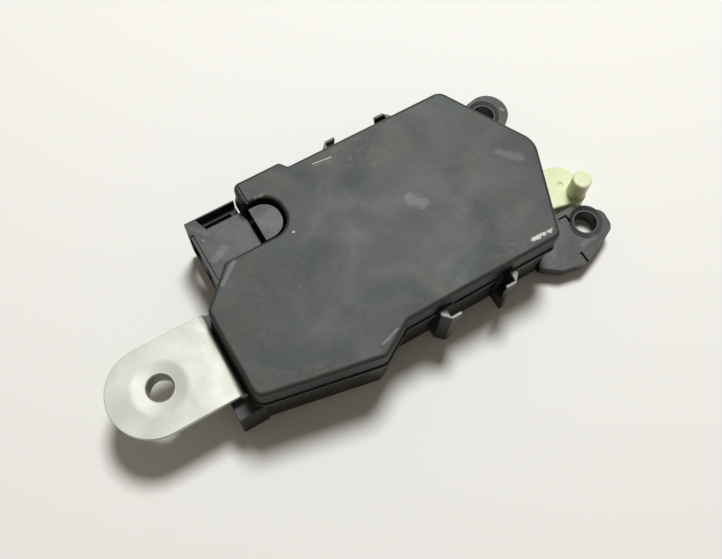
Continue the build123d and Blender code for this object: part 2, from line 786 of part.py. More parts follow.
# Connector socket with its mouth towards -X, a latch window in its top and a step along the mouth
with BuildPart() as connector_socket:
    with BuildSketch(Plane.XY.offset(socket_bottom)) as plan:
        socket_outline(0)
    extrude(plan.sketch, amount=socket_top - socket_bottom)
    block(socket_left_x - overcut, socket_cavity_x, socket_near_y + socket_wall, socket_far_y - socket_wall,
          socket_bottom + socket_wall, socket_top - socket_wall, mode=Mode.SUBTRACT)
    with BuildSketch(Plane.XY.offset(socket_top - latch_depth)) as window:
        with BuildLine():
            Polyline(
                (latch_far_x, latch_far_y),
                (latch_near_x, latch_far_y - latch_width),
                (socket_right_x + overcut, latch_far_y - latch_width),
                (socket_right_x + overcut, latch_far_y),
                close=True,
            )
        make_face()
    extrude(window.sketch, amount=latch_depth, mode=Mode.SUBTRACT)
    # Clearance beside the end of the housing's arm
    arm_space = rim_lip_proud + seat_gap
    block(arm_end_x - arm_space, socket_right_x + overcut, pocket_far_y - arm_space, socket_far_y + overcut,
          socket_bottom - overcut, socket_top + overcut, mode=Mode.SUBTRACT)
    block(socket_left_x - overcut, socket_left_x + mouth_step_width, socket_mouth_near_y - overcut,
          socket_far_y - mouth_step_far_gap, socket_top - mouth_step_depth, socket_top + overcut,
          mode=Mode.SUBTRACT)
    block(socket_right_x - overcut, deck_left_x - slip_gap, pocket_near_y + rim_lip_proud + seat_gap,
          pocket_far_y - bridge_far_inset, bridge_bottom, seam_height - rim_lip_height - seat_gap)
    terminal_slots(socket_cavity_x - overcut, deck_left_x)
connector_socket.part.label = "connector_socket"
export_step(connector_socket.part, "parts/connector_socket.step")

# Six tinned blades that run from the socket into the case
with BuildPart() as connector_terminals:
    for level, row in enumerate(terminal_rows):
        for column in terminal_columns:
            block(socket_cavity_x - terminal_reach, riser_x + (1 - level) * riser_step,
                  column - terminal_width / 2, column + terminal_width / 2,
                  row - terminal_height / 2, row + terminal_height / 2)
connector_terminals.part.label = "connector_terminals"
export_step(connector_terminals.part, "parts/connector_terminals.step")

# Steel bracket: a round-ended flange with a dished collar, and a leg down into the case's holder
with BuildPart() as mounting_bracket:
    with BuildSketch(Plane.XY.offset(flange_top - bracket_thickness)):
        with BuildLine():
            half = bracket_width / 2
            Line((leg_x, bracket_y + half), (bracket_tip_x + half, bracket_y + half))
            ThreePointArc((bracket_tip_x + half, bracket_y + half), (bracket_tip_x, bracket_y),
                          (bracket_tip_x + half, bracket_y - half))
            Polyline((bracket_tip_x + half, bracket_y - half), (leg_x, bracket_y - half),
                     (leg_x, bracket_y + half))
        make_face()
    extrude(amount=bracket_thickness)
    block(bend_x, leg_x, bracket_y - bracket_width / 2, bracket_y + bracket_width / 2, leg_bottom, flange_top)
    fillet(mounting_bracket.edges().filter_by(Axis.Y).filter_by_position(Axis.X, leg_x - 0.1, leg_x + 0.1)
           .sort_by(Axis.Z)[-1], bracket_bend_radius)
    fillet(mounting_bracket.edges().filter_by(Axis.Y).filter_by_position(Axis.X, bend_x - 0.1, bend_x + 0.1)
           .sort_by(Axis.Z)[-1], bracket_bend_radius - bracket_thickness)
    post(bracket_hole_x, bracket_y, bolt_hole_radius + bracket_thickness, bracket_collar_bottom,
         flange_top - bracket_thickness)
    dish(bracket_hole_x, bracket_y, flange_top, bracket_dish_radius, bracket_dish_foot_radius,
         bracket_dish_depth)
    post(bracket_hole_x, bracket_y, bolt_hole_radius, bracket_collar_bottom - overcut, flange_top + overcut,
         mode=Mode.SUBTRACT)
    dish_floor = flange_top - bracket_dish_depth
    fillet(mounting_bracket.edges().filter_by(GeomType.CIRCLE)
           .filter_by_position(Axis.Z, dish_floor - 0.01, dish_floor + 0.01)
           .filter_by(lambda edge: abs(edge.radius - bolt_hole_radius) < 0.01), bracket_hole_edge)
    fillet(mounting_bracket.edges().filter_by(GeomType.CIRCLE)
           .filter_by_position(Axis.Z, flange_top - 0.01, flange_top + 0.01)
           .filter_by(lambda edge: abs(edge.radius - bracket_dish_radius) < 0.01), bracket_dish_edge)
    for row in screw_rows:
        rod(bend_x - overcut, leg_x + overcut, row, bracket_screw_z, bracket_screw_radius + slip_gap,
            mode=Mode.SUBTRACT)
mounting_bracket.part.label = "mounting_bracket"
export_step(mounting_bracket.part, "parts/mounting_bracket.step")

# Two screws that hold the bracket's leg in its holder
with BuildPart() as bracket_screws:
    for row in screw_rows:
        rod(holder_x + screw_recess - screw_head_height, holder_x + screw_recess, row, bracket_screw_z,
            screw_head_radius)
        rod(holder_x + screw_recess, leg_x + screw_bite - seat_gap, row, bracket_screw_z,
            bracket_screw_radius)
        with BuildSketch(Plane.YZ.offset(holder_x + screw_recess - screw_head_height)) as socket:
            with Locations((row, bracket_screw_z)):
                RegularPolygon(hex_socket_radius, 6)
        extrude(socket.sketch, amount=hex_socket_depth, mode=Mode.SUBTRACT)
bracket_screws.part.label = "bracket_screws"
export_step(bracket_screws.part, "parts/bracket_screws.step")

# Motor can with two flats and a nose boss, open at its back
with BuildPart() as motor_can:
    motor_section(can_radius, can_flat, motor_x, can_end_x)
    rod(can_end_x, can_end_x + nose_boss_length, motor_y, motor_axis_z, nose_boss_radius)
    motor_section(can_radius - can_wall, can_flat - can_wall, motor_x, can_end_x - can_wall,
                  mode=Mode.SUBTRACT)
    rod(can_end_x - can_wall - overcut, can_end_x + nose_boss_length + overcut, motor_y, motor_axis_z,
        rotor_shaft_radius + running_gap, mode=Mode.SUBTRACT)
motor_can.part.label = "motor_can"
export_step(motor_can.part, "parts/motor_can.step")

# Plastic end cap that carries the rear bearing and two tabs' slots
with BuildPart() as motor_end_cap:
    motor_section(can_radius, can_flat, motor_x - end_cap_length, motor_x)
    motor_section(can_radius - can_wall - slip_gap, can_flat - can_wall - slip_gap, motor_x,
                  motor_x + cap_spigot_length)
    rod(motor_x - end_cap_length + cap_bearing_wall, motor_x + cap_spigot_length + overcut, motor_y,
        motor_axis_z, rotor_shaft_radius + running_gap, mode=Mode.SUBTRACT)
    for side in (-1, 1):
        block(motor_tab_x - slip_gap, motor_tab_x + motor_tab_thickness + slip_gap,
              motor_y + side * motor_tab_y - motor_tab_width / 2 - slip_gap,
              motor_y + side * motor_tab_y + motor_tab_width / 2 + slip_gap,
              motor_axis_z - motor_tab_depth - slip_gap, motor_axis_z + can_radius, mode=Mode.SUBTRACT)
motor_end_cap.part.label = "motor_end_cap"
export_step(motor_end_cap.part, "parts/motor_end_cap.step")

# Two brass tabs from the end cap up to the contact strips
with BuildPart() as motor_tabs:
    for side in (-1, 1):
        tab_y = motor_y + side * motor_tab_y
        block(motor_tab_x, motor_tab_x + motor_tab_thickness, tab_y - motor_tab_width / 2,
              tab_y + motor_tab_width / 2, motor_axis_z - motor_tab_depth, strip_bottom)
motor_tabs.part.label = "motor_tabs"
export_step(motor_tabs.part, "parts/motor_tabs.step")

# Two curved magnets against the round sides of the can
with BuildPart() as motor_magnets:
    with BuildSketch(Plane.YZ.offset(armature_x - magnet_overhang)) as shells:
        with Locations((motor_y, motor_axis_z)):
            Circle(magnet_outer)
            Circle(magnet_outer - magnet_thickness, mode=Mode.SUBTRACT)
            Rectangle(2 * can_radius, can_flat, mode=Mode.INTERSECT)
    extrude(shells.sketch, amount=armature_length + 2 * magnet_overhang)
motor_magnets.part.label = "motor_magnets"
export_step(motor_magnets.part, "parts/motor_magnets.step")

# Rubber pad under the motor
with BuildPart() as motor_pad:
    block(pad_x, pad_x + pad_length, motor_y - pad_width / 2, motor_y + pad_width / 2,
          floor_thickness, floor_thickness + pad_thickness)
motor_pad.part.label = "motor_pad"
export_step(motor_pad.part, "parts/motor_pad.step")

# Rotor: steel shaft, slotted core, windings and commutator
shaft_end_x = bush_x + worm_bush_length - shaft_end_gap
with BuildPart() as motor_shaft:
    rod(motor_x - end_cap_length + cap_bearing_wall + shaft_tail_gap, shaft_end_x, motor_y, motor_axis_z,
        rotor_shaft_radius)
motor_shaft.part.label = "motor_shaft"
export_step(motor_shaft.part, "parts/motor_shaft.step")

with BuildPart() as armature_core:
    with BuildSketch(Plane.YZ.offset(armature_x)) as lamination:
        with Locations((motor_y, motor_axis_z)):
            Circle(armature_radius)
            Circle(armature_radius - armature_rim, mode=Mode.SUBTRACT)
            with PolarLocations(armature_radius, armature_slots):
                Rectangle(slot_mouth_depth, slot_mouth_width, mode=Mode.SUBTRACT)
            with PolarLocations(armature_radius / 2, armature_slots, 180 / armature_slots):
                Rectangle(armature_radius - armature_arm_inset, armature_arm_width)
            Circle(armature_hub_radius)
            Circle(rotor_shaft_radius, mode=Mode.SUBTRACT)
    extrude(lamination.sketch, amount=armature_length)
armature_core.part.label = "armature_core"
export_step(armature_core.part, "parts/armature_core.step")


def winding_section(x, length, arm_spaces):
    """The windings' ring between two x planes, with or without spaces for the core's arms."""
    with BuildSketch(Plane.YZ.offset(x)) as ring:
        with Locations((motor_y, motor_axis_z)):
            Circle(winding_radius)
            Circle(armature_hub_radius + winding_core_gap * 2, mode=Mode.SUBTRACT)
            if arm_spaces:
                with PolarLocations(armature_radius / 2, armature_slots, 180 / armature_slots):
                    Rectangle(armature_radius + armature_arm_inset,
                              armature_arm_width + winding_core_gap * 2, mode=Mode.SUBTRACT)
    extrude(ring.sketch, amount=length)


with BuildPart() as armature_windings:
    winding_section(armature_x - winding_overhang, armature_length + 2 * winding_overhang, True)
    winding_section(armature_x - winding_overhang, winding_end_thickness, False)
    winding_section(armature_x + armature_length + winding_core_gap, winding_end_thickness, False)
armature_windings.part.label = "armature_windings"
export_step(armature_windings.part, "parts/armature_windings.step")

commutator_end_x = armature_x - commutator_gap
with BuildPart() as commutator:
    rod(commutator_end_x - commutator_length, commutator_end_x, motor_y, motor_axis_z, commutator_radius)
    rod(commutator_end_x - commutator_length - overcut, commutator_end_x + overcut, motor_y, motor_axis_z,
        rotor_shaft_radius, mode=Mode.SUBTRACT)
commutator.part.label = "commutator"
export_step(commutator.part, "parts/commutator.step")


def thread_angle(radius):
    """Half of the angle that one thread covers at a radius, in degrees."""
    slope = math.tan(math.radians(flank_angle))
    half_width = tooth_width / 2 + slope * (worm_radius - radius)
    return half_width / worm_lead * 360


def polar(radius, angle):
    """A point at a radius and an angle in degrees."""
    return radius * math.cos(math.radians(angle)), radius * math.sin(math.radians(angle))


# Worm: a two-start thread, twisted up from its own cross-section
worm_root = worm_radius - tooth_dedendum
worm_tip = worm_radius + tooth_addendum
worm_phase = -360 * (wheel_x + math.pi * gear_module / 2 - worm_start_x) / worm_lead
with BuildPart() as worm:
    with BuildSketch() as thread_section:
        Circle(worm_root)
        for start in range(worm_starts):
            turn = worm_phase + start * 360 / worm_starts
            flank = [worm_root - worm_core_bite, worm_radius, worm_tip]
            low = [polar(radius, turn - thread_angle(radius)) for radius in flank]
            high = [polar(radius, turn + thread_angle(radius)) for radius in reversed(flank)]
            with BuildLine():
                Spline(*low)
                ThreePointArc(low[-1], polar(worm_tip, turn), high[0])
                Spline(*high)
                Polyline(high[-1], (0, 0), low[0])
            make_face()
    twisted = Solid.extrude_linear_with_rotation(
        thread_section.sketch.face(), (0, 0, 0), (0, 0, worm_length), 360 * worm_length / worm_lead
    )
    add(Plane((worm_start_x, motor_y, motor_axis_z), x_dir=(0, 1, 0), z_dir=(1, 0, 0)).location * twisted)
    rod(worm_start_x - overcut, worm_start_x + worm_length + overcut, motor_y, motor_axis_z,
        rotor_shaft_radius, mode=Mode.SUBTRACT)
worm.part.label = "worm"
export_step(worm.part, "parts/worm.step")

# Bush that carries the worm's free end
with BuildPart() as worm_bush:
    rod(bush_x, bush_x + worm_bush_length - bush_stop - bush_end_gap, motor_y, motor_axis_z, worm_bush_radius)
    rod(bush_x - overcut, bush_x + worm_bush_length, motor_y, motor_axis_z, rotor_shaft_radius + running_gap,
        mode=Mode.SUBTRACT)
worm_bush.part.label = "worm_bush"
export_step(worm_bush.part, "parts/worm_bush.step")

# Worm wheel with its pinion, moulded in one
wheel_twist_rate = math.degrees(worm_lead / (2 * math.pi * worm_radius) / wheel_radius)
with BuildPart() as worm_wheel:
    with BuildSketch() as wheel_section:
        Circle(wheel_radius - tooth_dedendum)
        for index in range(wheel_teeth):
            tooth(wheel_radius, -90 - wheel_twist_rate * wheel_face / 2 + index * 360 / wheel_teeth, (0, 0))
    helical = Solid.extrude_linear_with_rotation(
        wheel_section.sketch.face(), (0, 0, 0), (0, 0, wheel_face), wheel_twist_rate * wheel_face
    )
    add(Location((wheel_x, wheel_y, wheel_bottom)) * helical)
    with BuildSketch(Plane.XY.offset(wheel_bottom)) as pinion_section:
        with Locations((wheel_x, wheel_y)):
            Circle(pinion_radius - tooth_dedendum)
        for index in range(pinion_teeth):
            tooth(pinion_radius, wheel_angle + 180 + index * 360 / pinion_teeth, (wheel_x, wheel_y))
    extrude(pinion_section.sketch, amount=pinion_top - wheel_bottom)
    post(wheel_x, wheel_y, axle_radius + running_gap, wheel_bottom - overcut, pinion_top + overcut,
         mode=Mode.SUBTRACT)
worm_wheel.part.label = "worm_wheel"
export_step(worm_wheel.part, "parts/worm_wheel.step")

# Steel axle and plastic washer under the wheel
with BuildPart() as wheel_axle:
    post(wheel_x, wheel_y, axle_radius, floor_thickness, cover_inside)
wheel_axle.part.label = "wheel_axle"
export_step(wheel_axle.part, "parts/wheel_axle.step")

with BuildPart() as wheel_washer:
    post(wheel_x, wheel_y, axle_radius + boss_wall, wheel_bottom - washer_thickness,
         wheel_bottom - running_gap)
    post(wheel_x, wheel_y, axle_radius + running_gap, wheel_bottom - overcut, wheel_bottom,
         mode=Mode.SUBTRACT)
wheel_washer.part.label = "wheel_washer"
export_step(wheel_washer.part, "parts/wheel_washer.step")

# Sector gear on the output shaft
with BuildPart() as sector_gear:
    with BuildSketch(Plane.XY.offset(sector_bottom)) as fan:
        with BuildLine() as fan_edge:
            reach = sector_radius * 1.5
            Polyline(
                (shaft_x, shaft_y),
                about_shaft(reach, sector_mid_angle - sector_half_span),
                about_shaft(reach, sector_mid_angle),
                about_shaft(reach, sector_mid_angle + sector_half_span),
                close=True,
            )
        make_face(fan_edge.edges())
        with Locations((shaft_x, shaft_y)):
            Circle(sector_radius - tooth_dedendum, mode=Mode.INTERSECT)
        for index in range(sector_span_teeth - 1):
            tooth(sector_radius, first_sector_tooth + index * 360 / sector_teeth, (shaft_x, shaft_y))
    extrude(fan.sketch, amount=sector_thickness)
    post(shaft_x, shaft_y, sector_hub_radius, bush_top + seat_gap, sector_top)
    post(shaft_x, shaft_y, output_shaft_radius, bush_top, sector_top + overcut, mode=Mode.SUBTRACT)
sector_gear.part.label = "sector_gear"
export_step(sector_gear.part, "parts/sector_gear.step")

# Carbon-faced copper brush arms on the end cap
with BuildPart() as motor_brushes:
    for side in (-1, 1):
        y0, y1 = sorted((motor_y + side * (commutator_radius + slip_gap),
                         motor_y + side * (commutator_radius + slip_gap + brush_thickness)))
        block(motor_x + brush_root, commutator_end_x - running_gap, y0, y1,
              motor_axis_z - brush_width / 2, motor_axis_z + brush_width / 2)
motor_brushes.part.label = "motor_brushes"
export_step(motor_brushes.part, "parts/motor_brushes.step")

# Output shaft with a square foot for the lever
with BuildPart() as output_shaft:
    post(shaft_x, shaft_y, output_shaft_radius, lever_hub_top - seat_gap, shaft_top_height)
    with BuildSketch(Plane.XY.offset(lever_bottom)) as foot:
        with Locations((shaft_x, shaft_y)):
            Rectangle(drive_square, drive_square)
    extrude(foot.sketch, amount=lever_hub_top - lever_bottom)
    post(shaft_x, shaft_y, lever_screw_radius + slip_gap / 2, lever_bottom - overcut,
         lever_bottom + lever_screw_length, mode=Mode.SUBTRACT)
output_shaft.part.label = "output_shaft"
export_step(output_shaft.part, "parts/output_shaft.step")

with BuildPart() as output_bush:
    post(shaft_x, shaft_y, bush_radius, bush_bottom, bush_top)
    post(shaft_x, shaft_y, output_shaft_radius + running_gap, bush_bottom - overcut, bush_top + overcut,
         mode=Mode.SUBTRACT)
output_bush.part.label = "output_bush"
export_step(output_bush.part, "parts/output_bush.step")

with BuildPart() as shaft_seal:
    post(shaft_x, shaft_y, output_shaft_radius + seal_wall - running_gap, bay_ceiling,
         bay_ceiling + seal_depth)
    post(shaft_x, shaft_y, output_shaft_radius + running_gap, bay_ceiling - overcut,
         bay_ceiling + seal_depth + overcut, mode=Mode.SUBTRACT)
shaft_seal.part.label = "shaft_seal"
export_step(shaft_seal.part, "parts/shaft_seal.step")

# Output lever: hub, flat arm with an eye, and the upright rod pin
with BuildPart() as output_lever:
    with BuildSketch(Plane.XY.offset(lever_bottom)) as arm:
        with BuildLine() as rounds:
            CenterArc((shaft_x, shaft_y), lever_hub_radius, 0, 360)
            CenterArc((lever_end_x, lever_end_y), lever_end_radius, 0, 360)
            CenterArc((rod_pin_x, rod_pin_y), rod_pin_lobe, 0, 360)
        make_hull(rounds.edges())
    extrude(arm.sketch, amount=lever_thickness)
    fillet(output_lever.faces().sort_by(Axis.Z)[-1].edges(), lever_edge_radius)
    post(shaft_x, shaft_y, lever_collar_radius, lever_bottom, lever_hub_top)
    post(rod_pin_x, rod_pin_y, rod_pin_radius, lever_bottom, rod_pin_top)
    fillet(output_lever.faces().sort_by(Axis.Z)[-1].edges(), rod_pin_edge_radius)
    with Locations((gate_mark_x, gate_mark_y, lever_top + gate_mark_radius - gate_mark_depth)):
        Sphere(gate_mark_radius, mode=Mode.SUBTRACT)
    with BuildSketch(Plane.XY.offset(lever_bottom)) as drive:
        with Locations((shaft_x, shaft_y)):
            Rectangle(drive_square + slip_gap, drive_square + slip_gap)
    extrude(drive.sketch, amount=lever_hub_top - lever_bottom, mode=Mode.SUBTRACT)
    post(shaft_x, shaft_y, output_shaft_radius + slip_gap, lever_hub_top - seat_gap, lever_hub_top + overcut,
         mode=Mode.SUBTRACT)
output_lever.part.label = "output_lever"
export_step(output_lever.part, "parts/output_lever.step")

with BuildPart() as lever_screw:
    post(shaft_x, shaft_y, lever_screw_head_radius, lever_bottom - lever_screw_head_height, lever_bottom)
    fillet(lever_screw.faces().sort_by(Axis.Z)[0].edges(), lever_screw_head_edge)
    post(shaft_x, shaft_y, lever_screw_radius, lever_bottom, lever_bottom + lever_screw_length - seat_gap)
    with BuildSketch(Plane.XY.offset(lever_bottom - lever_screw_head_height)) as recess:
        with Locations((shaft_x, shaft_y)):
            Rectangle(screw_cross_length, screw_cross_width)
            Rectangle(screw_cross_width, screw_cross_length)
    extrude(recess.sketch, amount=screw_cross_depth, mode=Mode.SUBTRACT)
lever_screw.part.label = "lever_screw"
export_step(lever_screw.part, "parts/lever_screw.step")

# Rubber sleeves that the sector meets at each end of its travel
with BuildPart() as bump_stops:
    for point in stop_points:
        post(*point, stop_radius, sector_bottom, sector_top)
        post(*point, stop_radius - stop_rubber + running_gap, sector_bottom - overcut, sector_top + overcut,
             mode=Mode.SUBTRACT)
bump_stops.part.label = "bump_stops"
export_step(bump_stops.part, "parts/bump_stops.step")

# Plastic carrier under the cover and the brass strips on its underside
tab_rows = [motor_y + motor_tab_y, motor_y - motor_tab_y]
with BuildPart() as contact_carrier:
    block(riser_x - carrier_margin, carrier_end_x, carrier_near_y, terminal_columns[-1] + carrier_far_margin,
          carrier_bottom, carrier_top)
    block(carrier_arm_x, carrier_end_x, carrier_arm_y, carrier_near_y + carrier_overlap,
          carrier_bottom, carrier_top)
    block(riser_x - carrier_margin, carrier_back_x, tab_rows[1] - carrier_row_margin,
          carrier_near_y + carrier_overlap, carrier_bottom, carrier_top)
    for row in tab_rows:
        block(motor_tab_x - 3 * carrier_margin, carrier_back_x, row - carrier_row_margin,
              row + carrier_row_margin, carrier_bottom, carrier_top)
contact_carrier.part.label = "contact_carrier"
export_step(contact_carrier.part, "parts/contact_carrier.step")

with BuildPart() as contact_strips:
    with BuildSketch(Plane.XY.offset(strip_bottom)) as tracks:
        for radius in (track_inner_radius, outer_track_radius):
            with BuildLine() as track:
                start = track_start
                stop = track_start + lever_travel + track_overrun
                a = ThreePointArc(about_shaft(radius, start), about_shaft(radius, (start + stop) / 2),
                                  about_shaft(radius, stop))
                b = ThreePointArc(about_shaft(radius + track_width, start),
                                  about_shaft(radius + track_width, (start + stop) / 2),
                                  about_shaft(radius + track_width, stop))
                Line(a @ 0, b @ 0)
                Line(a @ 1, b @ 1)
            make_face(track.edges())
    extrude(tracks.sketch, amount=strip_thickness)
    for index, radius in enumerate((outer_track_radius, track_inner_radius)):
        x, y = about_shaft(radius + track_width / 2, track_start)
        lead_y = terminal_columns[1 + index]
        block(x - lead_width / 2, x + lead_width / 2, y - carrier_margin, lead_y + lead_width / 2,
              strip_bottom, carrier_bottom)
        block(riser_x, x + lead_width / 2, lead_y - lead_width / 2, lead_y + lead_width / 2,
              strip_bottom, carrier_bottom)
    for index, row in enumerate(tab_rows):
        x = riser_x + index * riser_step
        block(x, x + lead_width, row - lead_width / 2, terminal_columns[0] + riser_width / 2,
              strip_bottom, carrier_bottom)
        block(motor_tab_x - carrier_margin, x + lead_width, row - lead_width / 2, row + lead_width / 2,
              strip_bottom, carrier_bottom)
    for level, row in enumerate(terminal_rows):
        for column in terminal_columns:
            x = riser_x + (1 - level) * riser_step
            block(x, x + riser_thickness, column - riser_width / 2, column + riser_width / 2,
                  row - terminal_height / 2, strip_bottom)
contact_strips.part.label = "contact_strips"
export_step(contact_strips.part, "parts/contact_strips.step")

# Brass wiper on the sector, with a finger under each track
with BuildPart() as wiper_contact:
    with BuildSketch(Plane.XY.offset(sector_top)) as wiper:
        with Locations(Location((shaft_x, shaft_y, 0), (0, 0, sector_mid_angle))):
            with Locations((track_inner_radius + track_width + track_gap / 2, 0)):
                Rectangle(2 * (track_width + wiper_margin) + track_gap, wiper_width)
    extrude(wiper.sketch, amount=wiper_thickness)
    for radius in (track_inner_radius, outer_track_radius):
        post(*about_shaft(radius + track_width / 2, sector_mid_angle), wiper_finger_radius,
             sector_top, strip_bottom - seat_gap)
wiper_contact.part.label = "wiper_contact"
export_step(wiper_contact.part, "parts/wiper_contact.step")
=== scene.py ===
import logging
import math
from dataclasses import dataclass
from enum import Enum
from typing import Iterable, Sequence

import bpy
from mathutils import Matrix, Vector


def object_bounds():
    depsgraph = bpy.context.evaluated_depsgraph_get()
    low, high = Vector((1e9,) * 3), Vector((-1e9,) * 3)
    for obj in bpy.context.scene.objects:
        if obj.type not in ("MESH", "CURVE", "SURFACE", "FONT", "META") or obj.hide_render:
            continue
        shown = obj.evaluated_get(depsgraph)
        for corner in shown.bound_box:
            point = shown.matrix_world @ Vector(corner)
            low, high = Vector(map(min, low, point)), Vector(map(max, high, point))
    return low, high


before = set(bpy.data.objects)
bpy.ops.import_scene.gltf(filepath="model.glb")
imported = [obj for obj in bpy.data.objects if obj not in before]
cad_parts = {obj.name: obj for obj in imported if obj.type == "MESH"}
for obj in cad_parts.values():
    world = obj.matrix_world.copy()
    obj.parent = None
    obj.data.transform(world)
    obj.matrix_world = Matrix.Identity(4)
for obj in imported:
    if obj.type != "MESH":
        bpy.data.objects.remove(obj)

CAD_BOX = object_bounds()
MM = 0.001
LOG = logging.getLogger("tailgate_actuator")

Point3 = tuple[float, float, float]


class Slot(Enum):
    """The record's material slots."""

    COVER = "cover_plastic"
    CASE = "case_plastic"
    CAP = "cap_plastic"
    WHITE = "white_plastic"
    NYLON = "natural_nylon"
    ZINC = "zinc_plated_steel"
    SCREW = "screw_steel"
    CAN = "can_steel"
    SHAFT = "shaft_steel"
    LAMINATION = "lamination_steel"
    BRASS = "brass"
    TINNED = "tinned_brass"
    BRONZE = "sintered_bronze"
    COPPER = "copper_wire"
    RUBBER = "rubber"
    FERRITE = "ferrite"


def linear(code: str) -> tuple[float, float, float, float]:
    """Turns an sRGB hex colour into the linear values that shaders take.

    Args:
        code: The colour as six hex digits.

    Returns:
        Red, green, blue and an alpha of one.
    """
    parts = [int(code[i:i + 2], 16) / 255 for i in (0, 2, 4)]
    red, green, blue = (c / 12.92 if c <= 0.04045 else ((c + 0.055) / 1.055) ** 2.4 for c in parts)
    return red, green, blue, 1.0


def per_metre(size_mm: float) -> float:
    """Turns the size of a pattern into a texture's scale.

    Args:
        size_mm: The pattern's size in millimetres.

    Returns:
        Repeats per metre.
    """
    return 1000.0 / size_mm


def add_node(
    tree: bpy.types.NodeTree,
    kind: str,
    settings: dict[str, object] | None = None,
    inputs: dict[str | int, object] | None = None,
) -> bpy.types.Node:
    """Adds a shader node with its settings, constants and links.

    Args:
        tree: The node tree of a material or of the world.
        kind: The node's type, without the prefix that all shader nodes share.
        settings: Properties of the node itself.
        inputs: Values by socket; an output socket is linked, anything else is a constant.

    Returns:
        The new node.
    """
    node = tree.nodes.new("ShaderNode" + kind)
    for key, value in (settings or {}).items():
        setattr(node, key, value)
    for key, value in (inputs or {}).items():
        socket = node.inputs[key]
        if isinstance(value, bpy.types.NodeSocket):
            tree.links.new(value, socket)
        else:
            socket.default_value = value
    return node


def blank_material(name: str) -> bpy.types.Material:
    """Makes a material with an empty node tree.

    Args:
        name: The material's name.

    Returns:
        The material.
    """
    material = bpy.data.materials.new(name)
    material.use_nodes = True
    material.node_tree.nodes.clear()
    return material


def close_material(material: bpy.types.Material, shader: bpy.types.Node) -> bpy.types.Material:
    """Links a surface shader to the material's output.

    Args:
        material: The material.
        shader: The node whose first output is the surface.

    Returns:
        The same material.
    """
    add_node(material.node_tree, "OutputMaterial", inputs={"Surface": shader.outputs[0]})
    return material


@dataclass(frozen=True)
class Mark:
    """One rub, nick, scratch or painted highlight: a stroke between two points, in millimetres.

    Amount is how strongly it covers. The edge of the stroke is broken up by noise: ragged says how
    far, and grain is the noise's size.
    """

    start: Point3
    end: Point3
    width: float
    amount: float = 1.0
    ragged: float = 0.5
    grain: float = 0.5

    def mask(self, tree: bpy.types.NodeTree, place: bpy.types.NodeSocket) -> bpy.types.NodeSocket:
        """Builds the stroke's mask, one inside it and nought outside.

        Args:
            tree: The material's node tree.
            place: The position on the object, in metres.

        Returns:
            The socket that holds the mask.
        """
        begin = Vector(self.start) * MM
        along = Vector(self.end) * MM - begin
        offset = add_node(tree, "VectorMath", {"operation": "SUBTRACT"}, {0: place, 1: tuple(begin)})
        reach = add_node(tree, "VectorMath", {"operation": "DOT_PRODUCT"},
                         {0: offset.outputs[0], 1: tuple(along / max(along.length_squared, 1e-12))})
        share = add_node(tree, "Clamp", inputs={0: reach.outputs["Value"]})
        foot = add_node(tree, "VectorMath", {"operation": "SCALE"},
                        {0: tuple(along), "Scale": share.outputs[0]})
        gap = add_node(tree, "VectorMath", {"operation": "DISTANCE"},
                       {0: offset.outputs[0], 1: foot.outputs[0]})
        noise = add_node(tree, "TexNoise", inputs={"Vector": place, "Scale": per_metre(self.grain),
                                                   "Detail": 3.0})
        half = self.width * MM / 2
        wobble = add_node(tree, "Math", {"operation": "MULTIPLY_ADD"},
                          {0: noise.outputs[0], 1: -2.0 * self.ragged * half, 2: self.ragged * half})
        edge = add_node(tree, "Math", {"operation": "SUBTRACT"},
                        {0: gap.outputs["Value"], 1: wobble.outputs[0]})
        fade = add_node(tree, "MapRange", {"interpolation_type": "SMOOTHSTEP"},
                        {"Value": edge.outputs[0], "From Min": half, "From Max": half * 0.35,
                         "To Min": 0.0, "To Max": self.amount})
        return fade.outputs[0]


